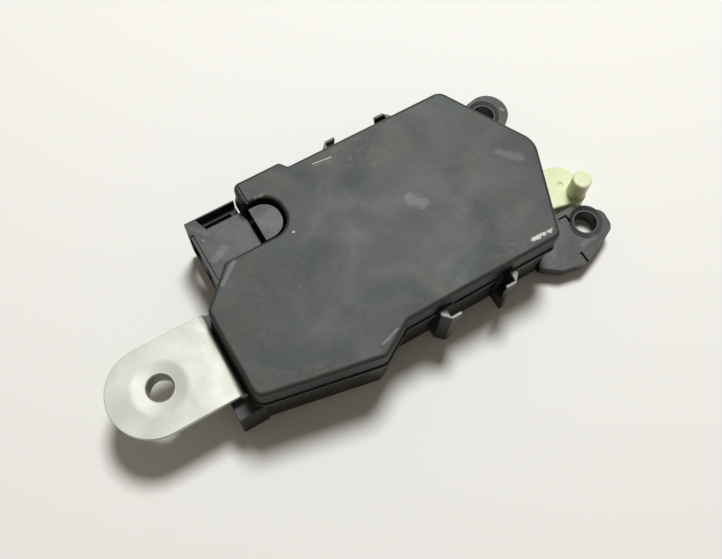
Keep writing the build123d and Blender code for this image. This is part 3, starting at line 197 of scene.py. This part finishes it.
@dataclass(frozen=True)
class MouldedPlastic:
    """Injection-moulded thermoplastic: a fine eroded tool texture, rubbed smoother where it is handled.

    The eye sees a satin skin with soft clouds of duller and brighter sheen, a few hairline scratches,
    broad stains, fine scuffs, and pale torn flecks where an edge has been knocked. Pale rub marks
    can also stand for painted highlights. Where a flank shade colour is given, faces that don't look
    up are painted dark with it as painted shade.
    """

    name: str
    colour: str
    rubbed: str
    torn: str = "c9cbc6"
    smooth: float = 0.34
    dull: float = 0.52
    grain_mm: float = 0.35
    grain_depth_mm: float = 0.006
    cloud_mm: float = 14.0
    scratch_mm: float = 0.5
    scratches: float = 0.35
    wave_mm: float = 0.0
    inner_glow: float = 0.0
    glow_spread: Point3 = (0.9, 1.0, 0.6)
    glow_depth_mm: float = 1.6
    ior: float = 1.49
    hair_turn: float = 0.5
    hair_dullness: float = 0.25
    wave_length_mm: float = 22.0
    # Painted shade colour for faces that don't look up.
    flank_shade: str = ""
    tints: tuple[str, ...] = ()
    tint_sizes_mm: tuple[float, ...] = (24.0, 15.0)
    tint_share: float = 0.75
    scuffs: float = 0.0
    scuff_tone: str = "8e9086"
    scuff_cloud_mm: float = 19.0
    scuff_hairs: tuple[tuple[float, float], ...] = ((28.0, 0.9), (-52.0, 0.7), (96.0, 1.1))
    # The pale colour of rub strokes and of painted highlights.
    rub_and_highlight_tone: str = "8d908c"
    rubs_and_highlights: tuple[Mark, ...] = ()
    tears: tuple[Mark, ...] = ()

    def together(self, tree: bpy.types.NodeTree, place: bpy.types.NodeSocket,
                 marks: Sequence[Mark]) -> bpy.types.NodeSocket | None:
        """Joins several marks into one mask.

        Args:
            tree: The material's node tree.
            place: The position on the object, in metres.
            marks: The marks.

        Returns:
            The socket that holds the strongest mark at each point, or None where there are no marks.
        """
        strongest = None
        for mark in marks:
            mask = mark.mask(tree, place)
            if strongest is not None:
                mask = add_node(tree, "Math", {"operation": "MAXIMUM"}, {0: strongest, 1: mask}).outputs[0]
            strongest = mask
        return strongest

    def stained(self, tree: bpy.types.NodeTree, place: bpy.types.NodeSocket,
                colour: bpy.types.NodeSocket) -> bpy.types.NodeSocket:
        """Adds broad stains of colour, such as an olive and a blue cast.

        Args:
            tree: The material's node tree.
            place: The position on the object, in metres.
            colour: The colour so far.

        Returns:
            The socket that holds the stained colour.
        """
        for tone, size_mm in zip(self.tints, self.tint_sizes_mm):
            patch = add_node(tree, "TexNoise", inputs={"Vector": place, "Scale": per_metre(size_mm),
                                                       "Detail": 3.0, "Distortion": 1.2})
            share = add_node(tree, "MapRange", {"interpolation_type": "SMOOTHSTEP"},
                             {"Value": patch.outputs[0], "From Min": 0.47, "From Max": 0.66,
                              "To Min": 0.0, "To Max": self.tint_share})
            colour = add_node(tree, "Mix", {"data_type": "RGBA"}, {"Factor": share.outputs[0], 6: colour,
                                                                   7: linear(tone)}).outputs[2]
        return colour

    def scuffed(self, tree: bpy.types.NodeTree, place: bpy.types.NodeSocket,
                colour: bpy.types.NodeSocket) -> bpy.types.NodeSocket:
        """Adds fine pale scuffs: short crossing hairs and specks, gathered where a broad noise is high.

        Args:
            tree: The material's node tree.
            place: The position on the object, in metres.
            colour: The colour so far.

        Returns:
            The socket that holds the scuffed colour.
        """
        gather = add_node(tree, "TexNoise", inputs={"Vector": place, "Scale": per_metre(self.scuff_cloud_mm),
                                                    "Detail": 4.0, "Roughness": 0.65})
        worn = add_node(tree, "MapRange", inputs={"Value": gather.outputs[0], "From Min": 0.44,
                                                  "From Max": 0.68})
        total = None
        for turn_deg, size_mm in self.scuff_hairs:
            turned = add_node(tree, "Mapping", inputs={
                "Vector": place, "Rotation": (0.0, 0.0, math.radians(turn_deg)), "Scale": (0.3, 1.0, 1.0)})
            hairs = add_node(tree, "TexNoise", inputs={
                "Vector": turned.outputs[0], "Scale": per_metre(size_mm), "Detail": 5.0, "Roughness": 0.75,
                "Distortion": 0.4})
            thin = add_node(tree, "MapRange", inputs={"Value": hairs.outputs[0], "From Min": 0.54,
                                                      "From Max": 0.86}).outputs[0]
            if total is not None:
                thin = add_node(tree, "Math", {"operation": "MAXIMUM"}, {0: total, 1: thin}).outputs[0]
            total = thin
        share = add_node(tree, "Math", {"operation": "MULTIPLY"}, {0: worn.outputs[0], 1: total})
        share = add_node(tree, "Math", {"operation": "MULTIPLY", "use_clamp": True},
                         {0: share.outputs[0], 1: self.scuffs})
        return add_node(tree, "Mix", {"data_type": "RGBA"}, {"Factor": share.outputs[0], 6: colour,
                                                             7: linear(self.scuff_tone)}).outputs[2]

    def paint_flank_shade(self, tree: bpy.types.NodeTree, colour: bpy.types.NodeSocket) -> bpy.types.NodeSocket:
        """Paints shade on the flanks: faces that look up keep the worn colour, faces that don't take the dark
        flank shade colour as painted shade.

        Args:
            tree: The material's node tree.
            colour: The worn colour.

        Returns:
            The socket that holds the mixed colour.
        """
        # Painted shade: faces turned away from the top are darkened towards the flank shade colour.
        facing = add_node(tree, "NewGeometry").outputs["Normal"]
        upward = add_node(tree, "SeparateXYZ", inputs={0: facing}).outputs[2]
        share = add_node(tree, "MapRange", {"interpolation_type": "SMOOTHSTEP"},
                         {"Value": upward, "From Min": 0.35, "From Max": 0.97})
        return add_node(tree, "Mix", {"data_type": "RGBA"}, {
            "Factor": share.outputs[0], 6: linear(self.flank_shade), 7: colour}).outputs[2]

    def material(self) -> bpy.types.Material:
        """Builds the finish.

        Returns:
            The material.
        """
        material = blank_material(self.name)
        tree = material.node_tree
        place = add_node(tree, "TexCoord").outputs["Object"]
        cloud = add_node(tree, "TexNoise", inputs={"Vector": place, "Scale": per_metre(self.cloud_mm),
                                                   "Detail": 5.0, "Roughness": 0.55, "Distortion": 0.6})
        sheen = add_node(tree, "MapRange", inputs={
            "Value": cloud.outputs[0], "From Min": 0.32, "From Max": 0.68, "To Min": 0.0, "To Max": 1.0})
        grain = add_node(tree, "TexNoise", inputs={"Vector": place, "Scale": per_metre(self.grain_mm),
                                                   "Detail": 2.0, "Roughness": 0.6})
        turned = add_node(tree, "Mapping", inputs={"Vector": place, "Rotation": (0.0, 0.0, self.hair_turn),
                                                   "Scale": (0.035, 1.0, 1.0)})
        fibres = add_node(tree, "TexNoise", inputs={"Vector": turned.outputs[0],
                                                    "Scale": per_metre(self.scratch_mm), "Detail": 2.0})
        hairs = add_node(tree, "MapRange", inputs={
            "Value": fibres.outputs[0], "From Min": 0.64, "From Max": 0.72, "To Min": 0.0,
            "To Max": self.scratches})
        tint = add_node(tree, "Mix", {"data_type": "RGBA"}, {
            "Factor": sheen.outputs[0], 6: linear(self.colour), 7: linear(self.rubbed)})
        colour = tint.outputs[2]
        rough = add_node(tree, "MapRange", inputs={"Value": sheen.outputs[0], "To Min": self.smooth,
                                                   "To Max": self.dull})
        if self.tints:
            colour = self.stained(tree, place, colour)
        if self.scuffs:
            colour = self.scuffed(tree, place, colour)
        if self.flank_shade:
            colour = self.paint_flank_shade(tree, colour)
        # Pale rub strokes, which on the case include painted highlights on the tower tops.
        rubbed = self.together(tree, place, self.rubs_and_highlights)
        if rubbed is not None:
            colour = add_node(tree, "Mix", {"data_type": "RGBA"}, {"Factor": rubbed, 6: colour,
                                                                   7: linear(self.rub_and_highlight_tone)}).outputs[2]
        torn = self.together(tree, place, self.tears)
        if torn is not None:
            colour = add_node(tree, "Mix", {"data_type": "RGBA"}, {"Factor": torn, 6: colour,
                                                                   7: linear(self.torn)}).outputs[2]
        rough = add_node(tree, "Math", {"operation": "MULTIPLY_ADD"},
                         {0: hairs.outputs[0], 1: self.hair_dullness, 2: rough.outputs[0]})
        relief = add_node(tree, "Math", {"operation": "SUBTRACT"}, {0: grain.outputs[0], 1: hairs.outputs[0]})
        bump = add_node(tree, "Bump", inputs={"Strength": 1.0, "Distance": self.grain_depth_mm * MM,
                                              "Height": relief.outputs[0]})
        normal = bump.outputs[0]
        if self.wave_mm:
            wave = add_node(tree, "TexNoise", inputs={
                "Vector": place, "Scale": per_metre(self.wave_length_mm), "Detail": 1.0})
            normal = add_node(tree, "Bump", inputs={"Strength": 1.0, "Distance": self.wave_mm * MM,
                                                    "Height": wave.outputs[0], "Normal": normal}).outputs[0]
        shader = add_node(tree, "BsdfPrincipled", inputs={
            "Base Color": colour, "Roughness": rough.outputs[0], "IOR": self.ior, "Normal": normal,
            "Subsurface Weight": self.inner_glow, "Subsurface Radius": self.glow_spread,
            "Subsurface Scale": self.glow_depth_mm * MM,
        })
        return close_material(material, shader)


@dataclass(frozen=True)
class SheetMetal:
    """Rolled, plated or ground metal: a directional grain under soft clouds of plating.

    The eye sees a satin sheen, drawn out along the grain, with faint darker freckles.
    """

    name: str
    colour: str
    clouded: str
    smooth: float = 0.26
    dull: float = 0.42
    grain_mm: float = 0.25
    grain_depth_mm: float = 0.0015
    stretch: Point3 = (0.04, 1.0, 1.0)
    cloud_mm: float = 9.0
    freckle: float = 0.25
    freckle_tone: str = "6f6d66"

    def material(self) -> bpy.types.Material:
        """Builds the finish.

        Returns:
            The material.
        """
        material = blank_material(self.name)
        tree = material.node_tree
        place = add_node(tree, "TexCoord").outputs["Object"]
        drawn = add_node(tree, "Mapping", inputs={"Vector": place, "Scale": self.stretch})
        grain = add_node(tree, "TexNoise", inputs={
            "Vector": drawn.outputs[0], "Scale": per_metre(self.grain_mm), "Detail": 3.0, "Roughness": 0.6})
        cloud = add_node(tree, "TexNoise", inputs={"Vector": place, "Scale": per_metre(self.cloud_mm),
                                                   "Detail": 4.0, "Distortion": 0.4})
        specks = add_node(tree, "TexVoronoi", inputs={"Vector": place, "Scale": per_metre(self.cloud_mm / 6)})
        spot = add_node(tree, "MapRange", inputs={"Value": specks.outputs["Distance"], "From Min": 0.16,
                                                  "From Max": 0.06, "To Min": 0.0, "To Max": self.freckle})
        mixed = add_node(tree, "Mix", {"data_type": "RGBA"}, {
            "Factor": cloud.outputs[0], 6: linear(self.colour), 7: linear(self.clouded)})
        colour = add_node(tree, "Mix", {"data_type": "RGBA"}, {"Factor": spot.outputs[0], 6: mixed.outputs[2],
                                                               7: linear(self.freckle_tone)})
        rough = add_node(tree, "MapRange", inputs={
            "Value": cloud.outputs[0], "From Min": 0.3, "From Max": 0.7, "To Min": self.smooth,
            "To Max": self.dull})
        bump = add_node(tree, "Bump", inputs={"Strength": 1.0, "Distance": self.grain_depth_mm * MM,
                                              "Height": grain.outputs[0]})
        shader = add_node(tree, "BsdfPrincipled", inputs={
            "Base Color": colour.outputs[2], "Metallic": 1.0, "Roughness": rough.outputs[0],
            "Normal": bump.outputs[0],
        })
        return close_material(material, shader)


@dataclass(frozen=True)
class Elastomer:
    """Moulded rubber or sintered ferrite: matt, slightly bloomed, with a fine open grain."""

    name: str
    colour: str
    bloom: str
    roughness: float = 0.78
    grain_mm: float = 0.4
    grain_depth_mm: float = 0.02
    dust_mm: float = 6.0
    ior: float = 1.5

    def material(self) -> bpy.types.Material:
        """Builds the finish.

        Returns:
            The material.
        """
        material = blank_material(self.name)
        tree = material.node_tree
        place = add_node(tree, "TexCoord").outputs["Object"]
        dust = add_node(tree, "TexNoise", inputs={"Vector": place, "Scale": per_metre(self.dust_mm),
                                                  "Detail": 4.0})
        grain = add_node(tree, "TexNoise", inputs={"Vector": place, "Scale": per_metre(self.grain_mm),
                                                   "Detail": 3.0})
        tint = add_node(tree, "Mix", {"data_type": "RGBA"}, {
            "Factor": dust.outputs[0], 6: linear(self.colour), 7: linear(self.bloom)})
        bump = add_node(tree, "Bump", inputs={"Strength": 1.0, "Distance": self.grain_depth_mm * MM,
                                              "Height": grain.outputs[0]})
        shader = add_node(tree, "BsdfPrincipled", inputs={
            "Base Color": tint.outputs[2], "Roughness": self.roughness, "IOR": self.ior,
            "Normal": bump.outputs[0],
        })
        return close_material(material, shader)


# The heights of the marked faces, in millimetres
COVER_TOP = CAD_BOX[1][2] / MM
SOCKET_TOP = 20.0
TOWER_TOP = 20.8
EAR_TOP = 6.6

COVER_RUBS = (
    Mark((18.2, 1.6, COVER_TOP), (20.0, -0.2, COVER_TOP), 5.5, 0.30, 0.8, 2.5),
    Mark((46.6, 2.0, COVER_TOP), (51.0, -2.4, COVER_TOP), 3.2, 0.22, 0.8, 2.0),
    Mark((-36.4, 5.0, COVER_TOP), (-31.0, 9.2, COVER_TOP), 1.5, 0.35, 0.9, 1.2),
    Mark((-9.2, -29.0, COVER_TOP), (-3.9, -27.4, COVER_TOP), 1.0, 0.45, 0.9, 0.8),
    Mark((-17.9, 22.6, COVER_TOP), (-15.8, 22.5, COVER_TOP), 1.1, 0.55, 0.8, 0.8),
    Mark((0.1, 23.2, COVER_TOP), (5.4, 22.7, COVER_TOP), 0.5, 0.25, 0.4, 0.6),
)
COVER_TEARS = (
    Mark((39.9, -24.2, COVER_TOP), (41.6, -24.3, COVER_TOP), 1.5, 1.0, 1.1, 0.5),
    Mark((41.8, -24.2, COVER_TOP), (45.6, -24.3, COVER_TOP), 1.2, 0.9, 1.4, 0.6),
    Mark((0.5, 24.0, COVER_TOP), (5.8, 23.45, COVER_TOP), 0.42, 0.75, 0.6, 0.7),
    Mark((-13.9, 9.0, COVER_TOP), (-13.6, 8.9, COVER_TOP), 0.7, 0.8, 0.7, 0.5),
)

CASE_RUBS_AND_HIGHLIGHTS = (
    Mark((-36.0, 26.0, SOCKET_TOP), (-32.9, 22.4, SOCKET_TOP), 1.8, 0.16, 0.9, 0.9),
    Mark((-35.0, 14.6, SOCKET_TOP), (-31.0, 16.4, SOCKET_TOP), 3.0, 0.22, 0.9, 0.9),
    Mark((64.8, -27.2, EAR_TOP), (60.4, -27.6, EAR_TOP), 2.2, 0.25, 0.9, 0.9),
    # Painted highlights: pale L-shaped strokes on the two snap towers' tops, standing for light reflected off
    # them.
    Mark((9.4, -28.6, TOWER_TOP), (11.0, -30.6, TOWER_TOP), 1.6, 0.95, 0.3, 0.6),
    Mark((11.2, -30.7, TOWER_TOP), (14.1, -30.7, TOWER_TOP), 0.9, 0.95, 0.2, 0.5),
    Mark((32.4, -28.6, TOWER_TOP), (31.2, -30.6, TOWER_TOP), 1.7, 0.95, 0.3, 0.6),
    Mark((31.0, -30.7, TOWER_TOP), (28.2, -30.7, TOWER_TOP), 0.9, 0.95, 0.2, 0.5),
)
CASE_TEARS = (
    Mark((-34.9, 21.3, SOCKET_TOP), (-34.7, 21.2, SOCKET_TOP), 0.4, 0.7, 0.6, 0.4),
    Mark((58.6, 27.0, EAR_TOP), (58.9, 27.1, EAR_TOP), 0.5, 0.5, 0.6, 0.4),
    Mark((65.0, 22.2, EAR_TOP), (65.3, 21.2, EAR_TOP), 0.8, 0.4, 0.9, 0.5),
)

# The flank shade colours of the cover and the case are painted shade on their side walls.
FINISHES: dict[Slot, MouldedPlastic | SheetMetal | Elastomer] = {
    Slot.COVER: MouldedPlastic(
        "moulded_satin_polypropylene", "282f2a", "343a34", smooth=0.50, dull=0.62, cloud_mm=17.0,
        wave_mm=0.05, scratches=0.08, flank_shade="060708", tints=("3d3f35", "2c3338"), scuffs=0.55,
        rubs_and_highlights=COVER_RUBS, tears=COVER_TEARS),
    Slot.CASE: MouldedPlastic(
        "moulded_black_polyamide", "272b2c", "313634", smooth=0.42, dull=0.56, cloud_mm=11.0,
        scratches=0.08, flank_shade="050607", tints=("343830", "2a3136"), scuffs=0.45,
        rubs_and_highlights=CASE_RUBS_AND_HIGHLIGHTS, tears=CASE_TEARS),
    Slot.CAP: MouldedPlastic("moulded_black_phenolic", "16181a", "232527", smooth=0.42, dull=0.55),
    Slot.WHITE: MouldedPlastic("moulded_white_acetal", "e4e1d4", "d9d5c6", torn="f2efe6", smooth=0.30,
                               dull=0.42, inner_glow=0.15),
    Slot.NYLON: MouldedPlastic("moulded_natural_nylon", "e4e9c4", "d9dfac", torn="f1f2dc", smooth=0.34,
                               dull=0.48, cloud_mm=8.0, inner_glow=0.45),
    Slot.ZINC: SheetMetal("zinc_plated_pressed_steel", "c3c5bd", "babcb2", smooth=0.56, dull=0.64,
                          freckle=0.08),
    Slot.SCREW: SheetMetal("zinc_plated_screw_steel", "bcbcb6", "a3a39c", grain_mm=0.2,
                           stretch=(1.0, 1.0, 1.0)),
    Slot.CAN: SheetMetal("nickel_plated_drawn_steel", "c2c0b8", "aeaca4", stretch=(0.05, 1.0, 1.0)),
    Slot.SHAFT: SheetMetal("ground_carbon_steel", "c6c6c4", "b4b4b2", smooth=0.18, dull=0.30,
                           stretch=(1.0, 1.0, 0.08)),
    Slot.LAMINATION: SheetMetal("stacked_electrical_steel", "7c7c7a", "65645f", grain_mm=0.5,
                                grain_depth_mm=0.03, stretch=(1.0, 0.05, 0.05), smooth=0.42, dull=0.6),
    Slot.BRASS: SheetMetal("stamped_brass_strip", "cfa95c", "b58f46"),
    Slot.TINNED: SheetMetal("tin_plated_brass", "cfcabb", "bdb6a2", smooth=0.28, dull=0.4),
    Slot.BRONZE: SheetMetal("oil_filled_sintered_bronze", "9c7448", "7f5c37", smooth=0.5, dull=0.66,
                            grain_mm=0.3, grain_depth_mm=0.02, stretch=(1.0, 1.0, 1.0)),
    Slot.COPPER: SheetMetal("enamelled_copper_wire", "a8572c", "8d4422", smooth=0.22, dull=0.36,
                            grain_mm=0.35, grain_depth_mm=0.05, stretch=(0.05, 1.0, 1.0)),
    Slot.RUBBER: Elastomer("moulded_black_rubber", "101112", "1b1c1d"),
    Slot.FERRITE: Elastomer("sintered_ferrite", "1b1c1f", "2b2c30", roughness=0.6, grain_mm=0.25),
}


class MaterialShelf:
    """Makes each finish once and hands it out by the record's slot."""

    def __init__(self) -> None:
        """Starts with nothing made."""
        self.made: dict[Slot, bpy.types.Material] = {}

    def get(self, slot: Slot) -> bpy.types.Material:
        """The material of a slot, made when it is first asked for.

        Args:
            slot: The record's material slot.

        Returns:
            The material.
        """
        if slot not in self.made:
            self.made[slot] = FINISHES[slot].material()
        return self.made[slot]


SHELF = MaterialShelf()
WELD_MM = 0.002
FLAT_DEG = 0.6
SHARP_DEG = 38.0


def dress(names: Iterable[str], slot: Slot, edge_mm: float = 0.0) -> None:
    """Gives CAD nodes their finish, and a small radius on their sharp edges.

    Args:
        names: The nodes.
        slot: The record's material slot.
        edge_mm: The radius of the edges in millimetres, or nought to leave them.
    """
    for name in names:
        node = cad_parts[name]
        for place in node.material_slots:
            place.material = SHELF.get(slot)
        if edge_mm:
            weld = node.modifiers.new("weld", "WELD")
            weld.merge_threshold = WELD_MM * MM
            flat = node.modifiers.new("flats", "DECIMATE")
            flat.decimate_type = "DISSOLVE"
            flat.angle_limit = math.radians(FLAT_DEG)
            edge = node.modifiers.new("edge_radius", "BEVEL")
            edge.width = edge_mm * MM
            edge.segments = 2
            edge.limit_method = "ANGLE"
            edge.angle_limit = math.radians(SHARP_DEG)
            edge.harden_normals = True
        LOG.info("dressed node %s with %s", name, slot.value)


@dataclass
class Studio:
    """The pale table, the soft lamp and the camera.

    The camera's angles, its distance and the point it looks at are those of the photograph's view,
    in degrees and millimetres. The key lamp stands where its soft shadow falls towards -X and -Y.
    """

    image_width_px: float = 722.0
    turn_deg: float = 34.92
    tilt_deg: float = 68.45
    roll_deg: float = 4.72
    focal_px: float = 850.0
    sensor: float = 36.0
    clip_start: float = 10.0
    aim: Point3 = (-5.25, -11.4, 26.0)
    distance: float = 218.0
    floor_size: float = 6000.0
    floor_drop: float = 0.05
    floor_tone: str = "f1f1ec"
    floor_roughness: float = 0.9
    floor_gloss: float = 0.2
    key_direction: Point3 = (0.249, 0.285, 0.925)
    key_distance: float = 900.0
    key_size: float = 250.0
    key_power: float = 7.3
    key_tone: str = "fdfeff"
    fill: float = 0.20
    fill_tone: str = "f7e9d8"

    def axes(self) -> tuple[Vector, Vector, Vector]:
        """Works out the camera's directions.

        Returns:
            The image's right, down and forward directions in the object's frame.
        """
        turn, tilt, roll = (math.radians(a) for a in (self.turn_deg, self.tilt_deg, self.roll_deg))
        rise, run = math.sin(tilt), math.cos(tilt)
        level = Matrix(((1, 0, 0), (0, -rise, -run), (0, run, -rise)))
        turned = level @ Matrix.Rotation(turn, 3, "Z")
        rolled = Matrix.Rotation(roll, 3, "Z") @ turned
        return rolled[0].copy(), rolled[1].copy(), rolled[2].copy()

    def place_camera(self) -> None:
        """Adds the camera with the photograph's view."""
        right, down, forward = self.axes()
        spot = (Vector(self.aim) - forward * self.distance) * MM
        data = bpy.data.cameras.new("camera")
        data.sensor_width = self.sensor
        data.lens = self.sensor * self.focal_px / self.image_width_px
        data.clip_start = self.clip_start * MM
        camera = bpy.data.objects.new("camera", data)
        basis = Matrix((right, -down, -forward)).transposed().to_4x4()
        camera.matrix_world = Matrix.Translation(spot) @ basis
        bpy.context.scene.collection.objects.link(camera)
        bpy.context.scene.camera = camera

    def lay_floor(self) -> None:
        """Adds the matt white table that the actuator lies on."""
        half, level = self.floor_size / 2 * MM, -self.floor_drop * MM
        corners = [(-half, -half, level), (half, -half, level), (half, half, level), (-half, half, level)]
        data = bpy.data.meshes.new("table_top")
        data.from_pydata(corners, [], [(0, 1, 2, 3)])
        table = bpy.data.objects.new("table_top", data)
        bpy.context.scene.collection.objects.link(table)
        material = blank_material("matt_white_card")
        shader = add_node(material.node_tree, "BsdfPrincipled", inputs={
            "Base Color": linear(self.floor_tone), "Roughness": self.floor_roughness,
            "Specular IOR Level": self.floor_gloss})
        data.materials.append(close_material(material, shader))

    def hang_lamps(self) -> None:
        """Adds the soft key lamp and an even, faintly warm surround."""
        data = bpy.data.lights.new("key_lamp", "AREA")
        data.shape = "DISK"
        data.size = self.key_size * MM
        data.energy = self.key_power
        data.color = linear(self.key_tone)[:3]
        lamp = bpy.data.objects.new("key_lamp", data)
        aim = Vector(self.key_direction).normalized()
        lamp.location = aim * self.key_distance * MM
        lamp.rotation_euler = aim.to_track_quat("Z", "Y").to_euler()
        bpy.context.scene.collection.objects.link(lamp)
        world = bpy.data.worlds.new("surround")
        world.use_nodes = True
        world.node_tree.nodes.clear()
        glow = add_node(world.node_tree, "Background", inputs={"Color": linear(self.fill_tone),
                                                               "Strength": self.fill})
        add_node(world.node_tree, "OutputWorld", inputs={"Surface": glow.outputs[0]})
        bpy.context.scene.world = world
        bpy.context.scene.view_settings.view_transform = "Standard"

    def build(self) -> None:
        """Adds the camera, the table and the lamp."""
        self.place_camera()
        self.lay_floor()
        self.hang_lamps()


@dataclass
class Housing:
    """The case, the cover and the rubber parts inside. Edge radii are in millimetres."""

    cover_edge: float = 0.15

    def build(self) -> None:
        """Dresses the housing's nodes. The case keeps its sharp edges."""
        dress(["case"], Slot.CASE)
        dress(["cover"], Slot.COVER, self.cover_edge)
        dress(["perimeter_seal", "shaft_seal", "bump_stops", "motor_pad"], Slot.RUBBER)


@dataclass
class Connector:
    """The socket and its blades. Edge radii are in millimetres."""

    socket_edge: float = 0.2
    blade_edge: float = 0.08

    def build(self) -> None:
        """Dresses the connector's nodes."""
        dress(["connector_socket"], Slot.CASE, self.socket_edge)
        dress(["connector_terminals"], Slot.TINNED, self.blade_edge)


@dataclass
class SteelBracket:
    """The plated bracket and the screws that hold its leg. Edge radii are in millimetres."""

    sheet_edge: float = 0.2
    screw_edge: float = 0.15

    def build(self) -> None:
        """Dresses the bracket's nodes."""
        dress(["mounting_bracket"], Slot.ZINC, self.sheet_edge)
        dress(["bracket_screws"], Slot.SCREW, self.screw_edge)


@dataclass
class MotorUnit:
    """The motor, the gears and the lever's switch. Edge radii are in millimetres."""

    can_edge: float = 0.3
    cap_edge: float = 0.15

    def build(self) -> None:
        """Dresses the nodes inside the housing."""
        dress(["motor_can"], Slot.CAN, self.can_edge)
        dress(["motor_end_cap", "contact_carrier"], Slot.CAP, self.cap_edge)
        dress(["motor_tabs", "motor_brushes", "contact_strips", "wiper_contact"], Slot.BRASS)
        dress(["motor_magnets"], Slot.FERRITE)
        dress(["motor_shaft", "wheel_axle", "output_shaft"], Slot.SHAFT)
        dress(["armature_core"], Slot.LAMINATION)
        dress(["armature_windings", "commutator"], Slot.COPPER)
        dress(["worm", "worm_wheel", "wheel_washer", "sector_gear"], Slot.WHITE)
        dress(["worm_bush", "output_bush"], Slot.BRONZE)


@dataclass
class LeverUnit:
    """The output lever and its screw. Edge radii are in millimetres."""

    lever_edge: float = 0.2
    screw_edge: float = 0.12

    def build(self) -> None:
        """Dresses the lever's nodes."""
        dress(["output_lever"], Slot.NYLON, self.lever_edge)
        dress(["lever_screw"], Slot.SCREW, self.screw_edge)


def main() -> None:
    """Builds the studio and each sub-assembly in order."""
    logging.basicConfig(level=logging.INFO, format="%(message)s")
    for part in (Studio(), Housing(), Connector(), SteelBracket(), MotorUnit(), LeverUnit()):
        part.build()
        LOG.info("built %s", type(part).__name__)


if __name__ == "__main__":
    main()
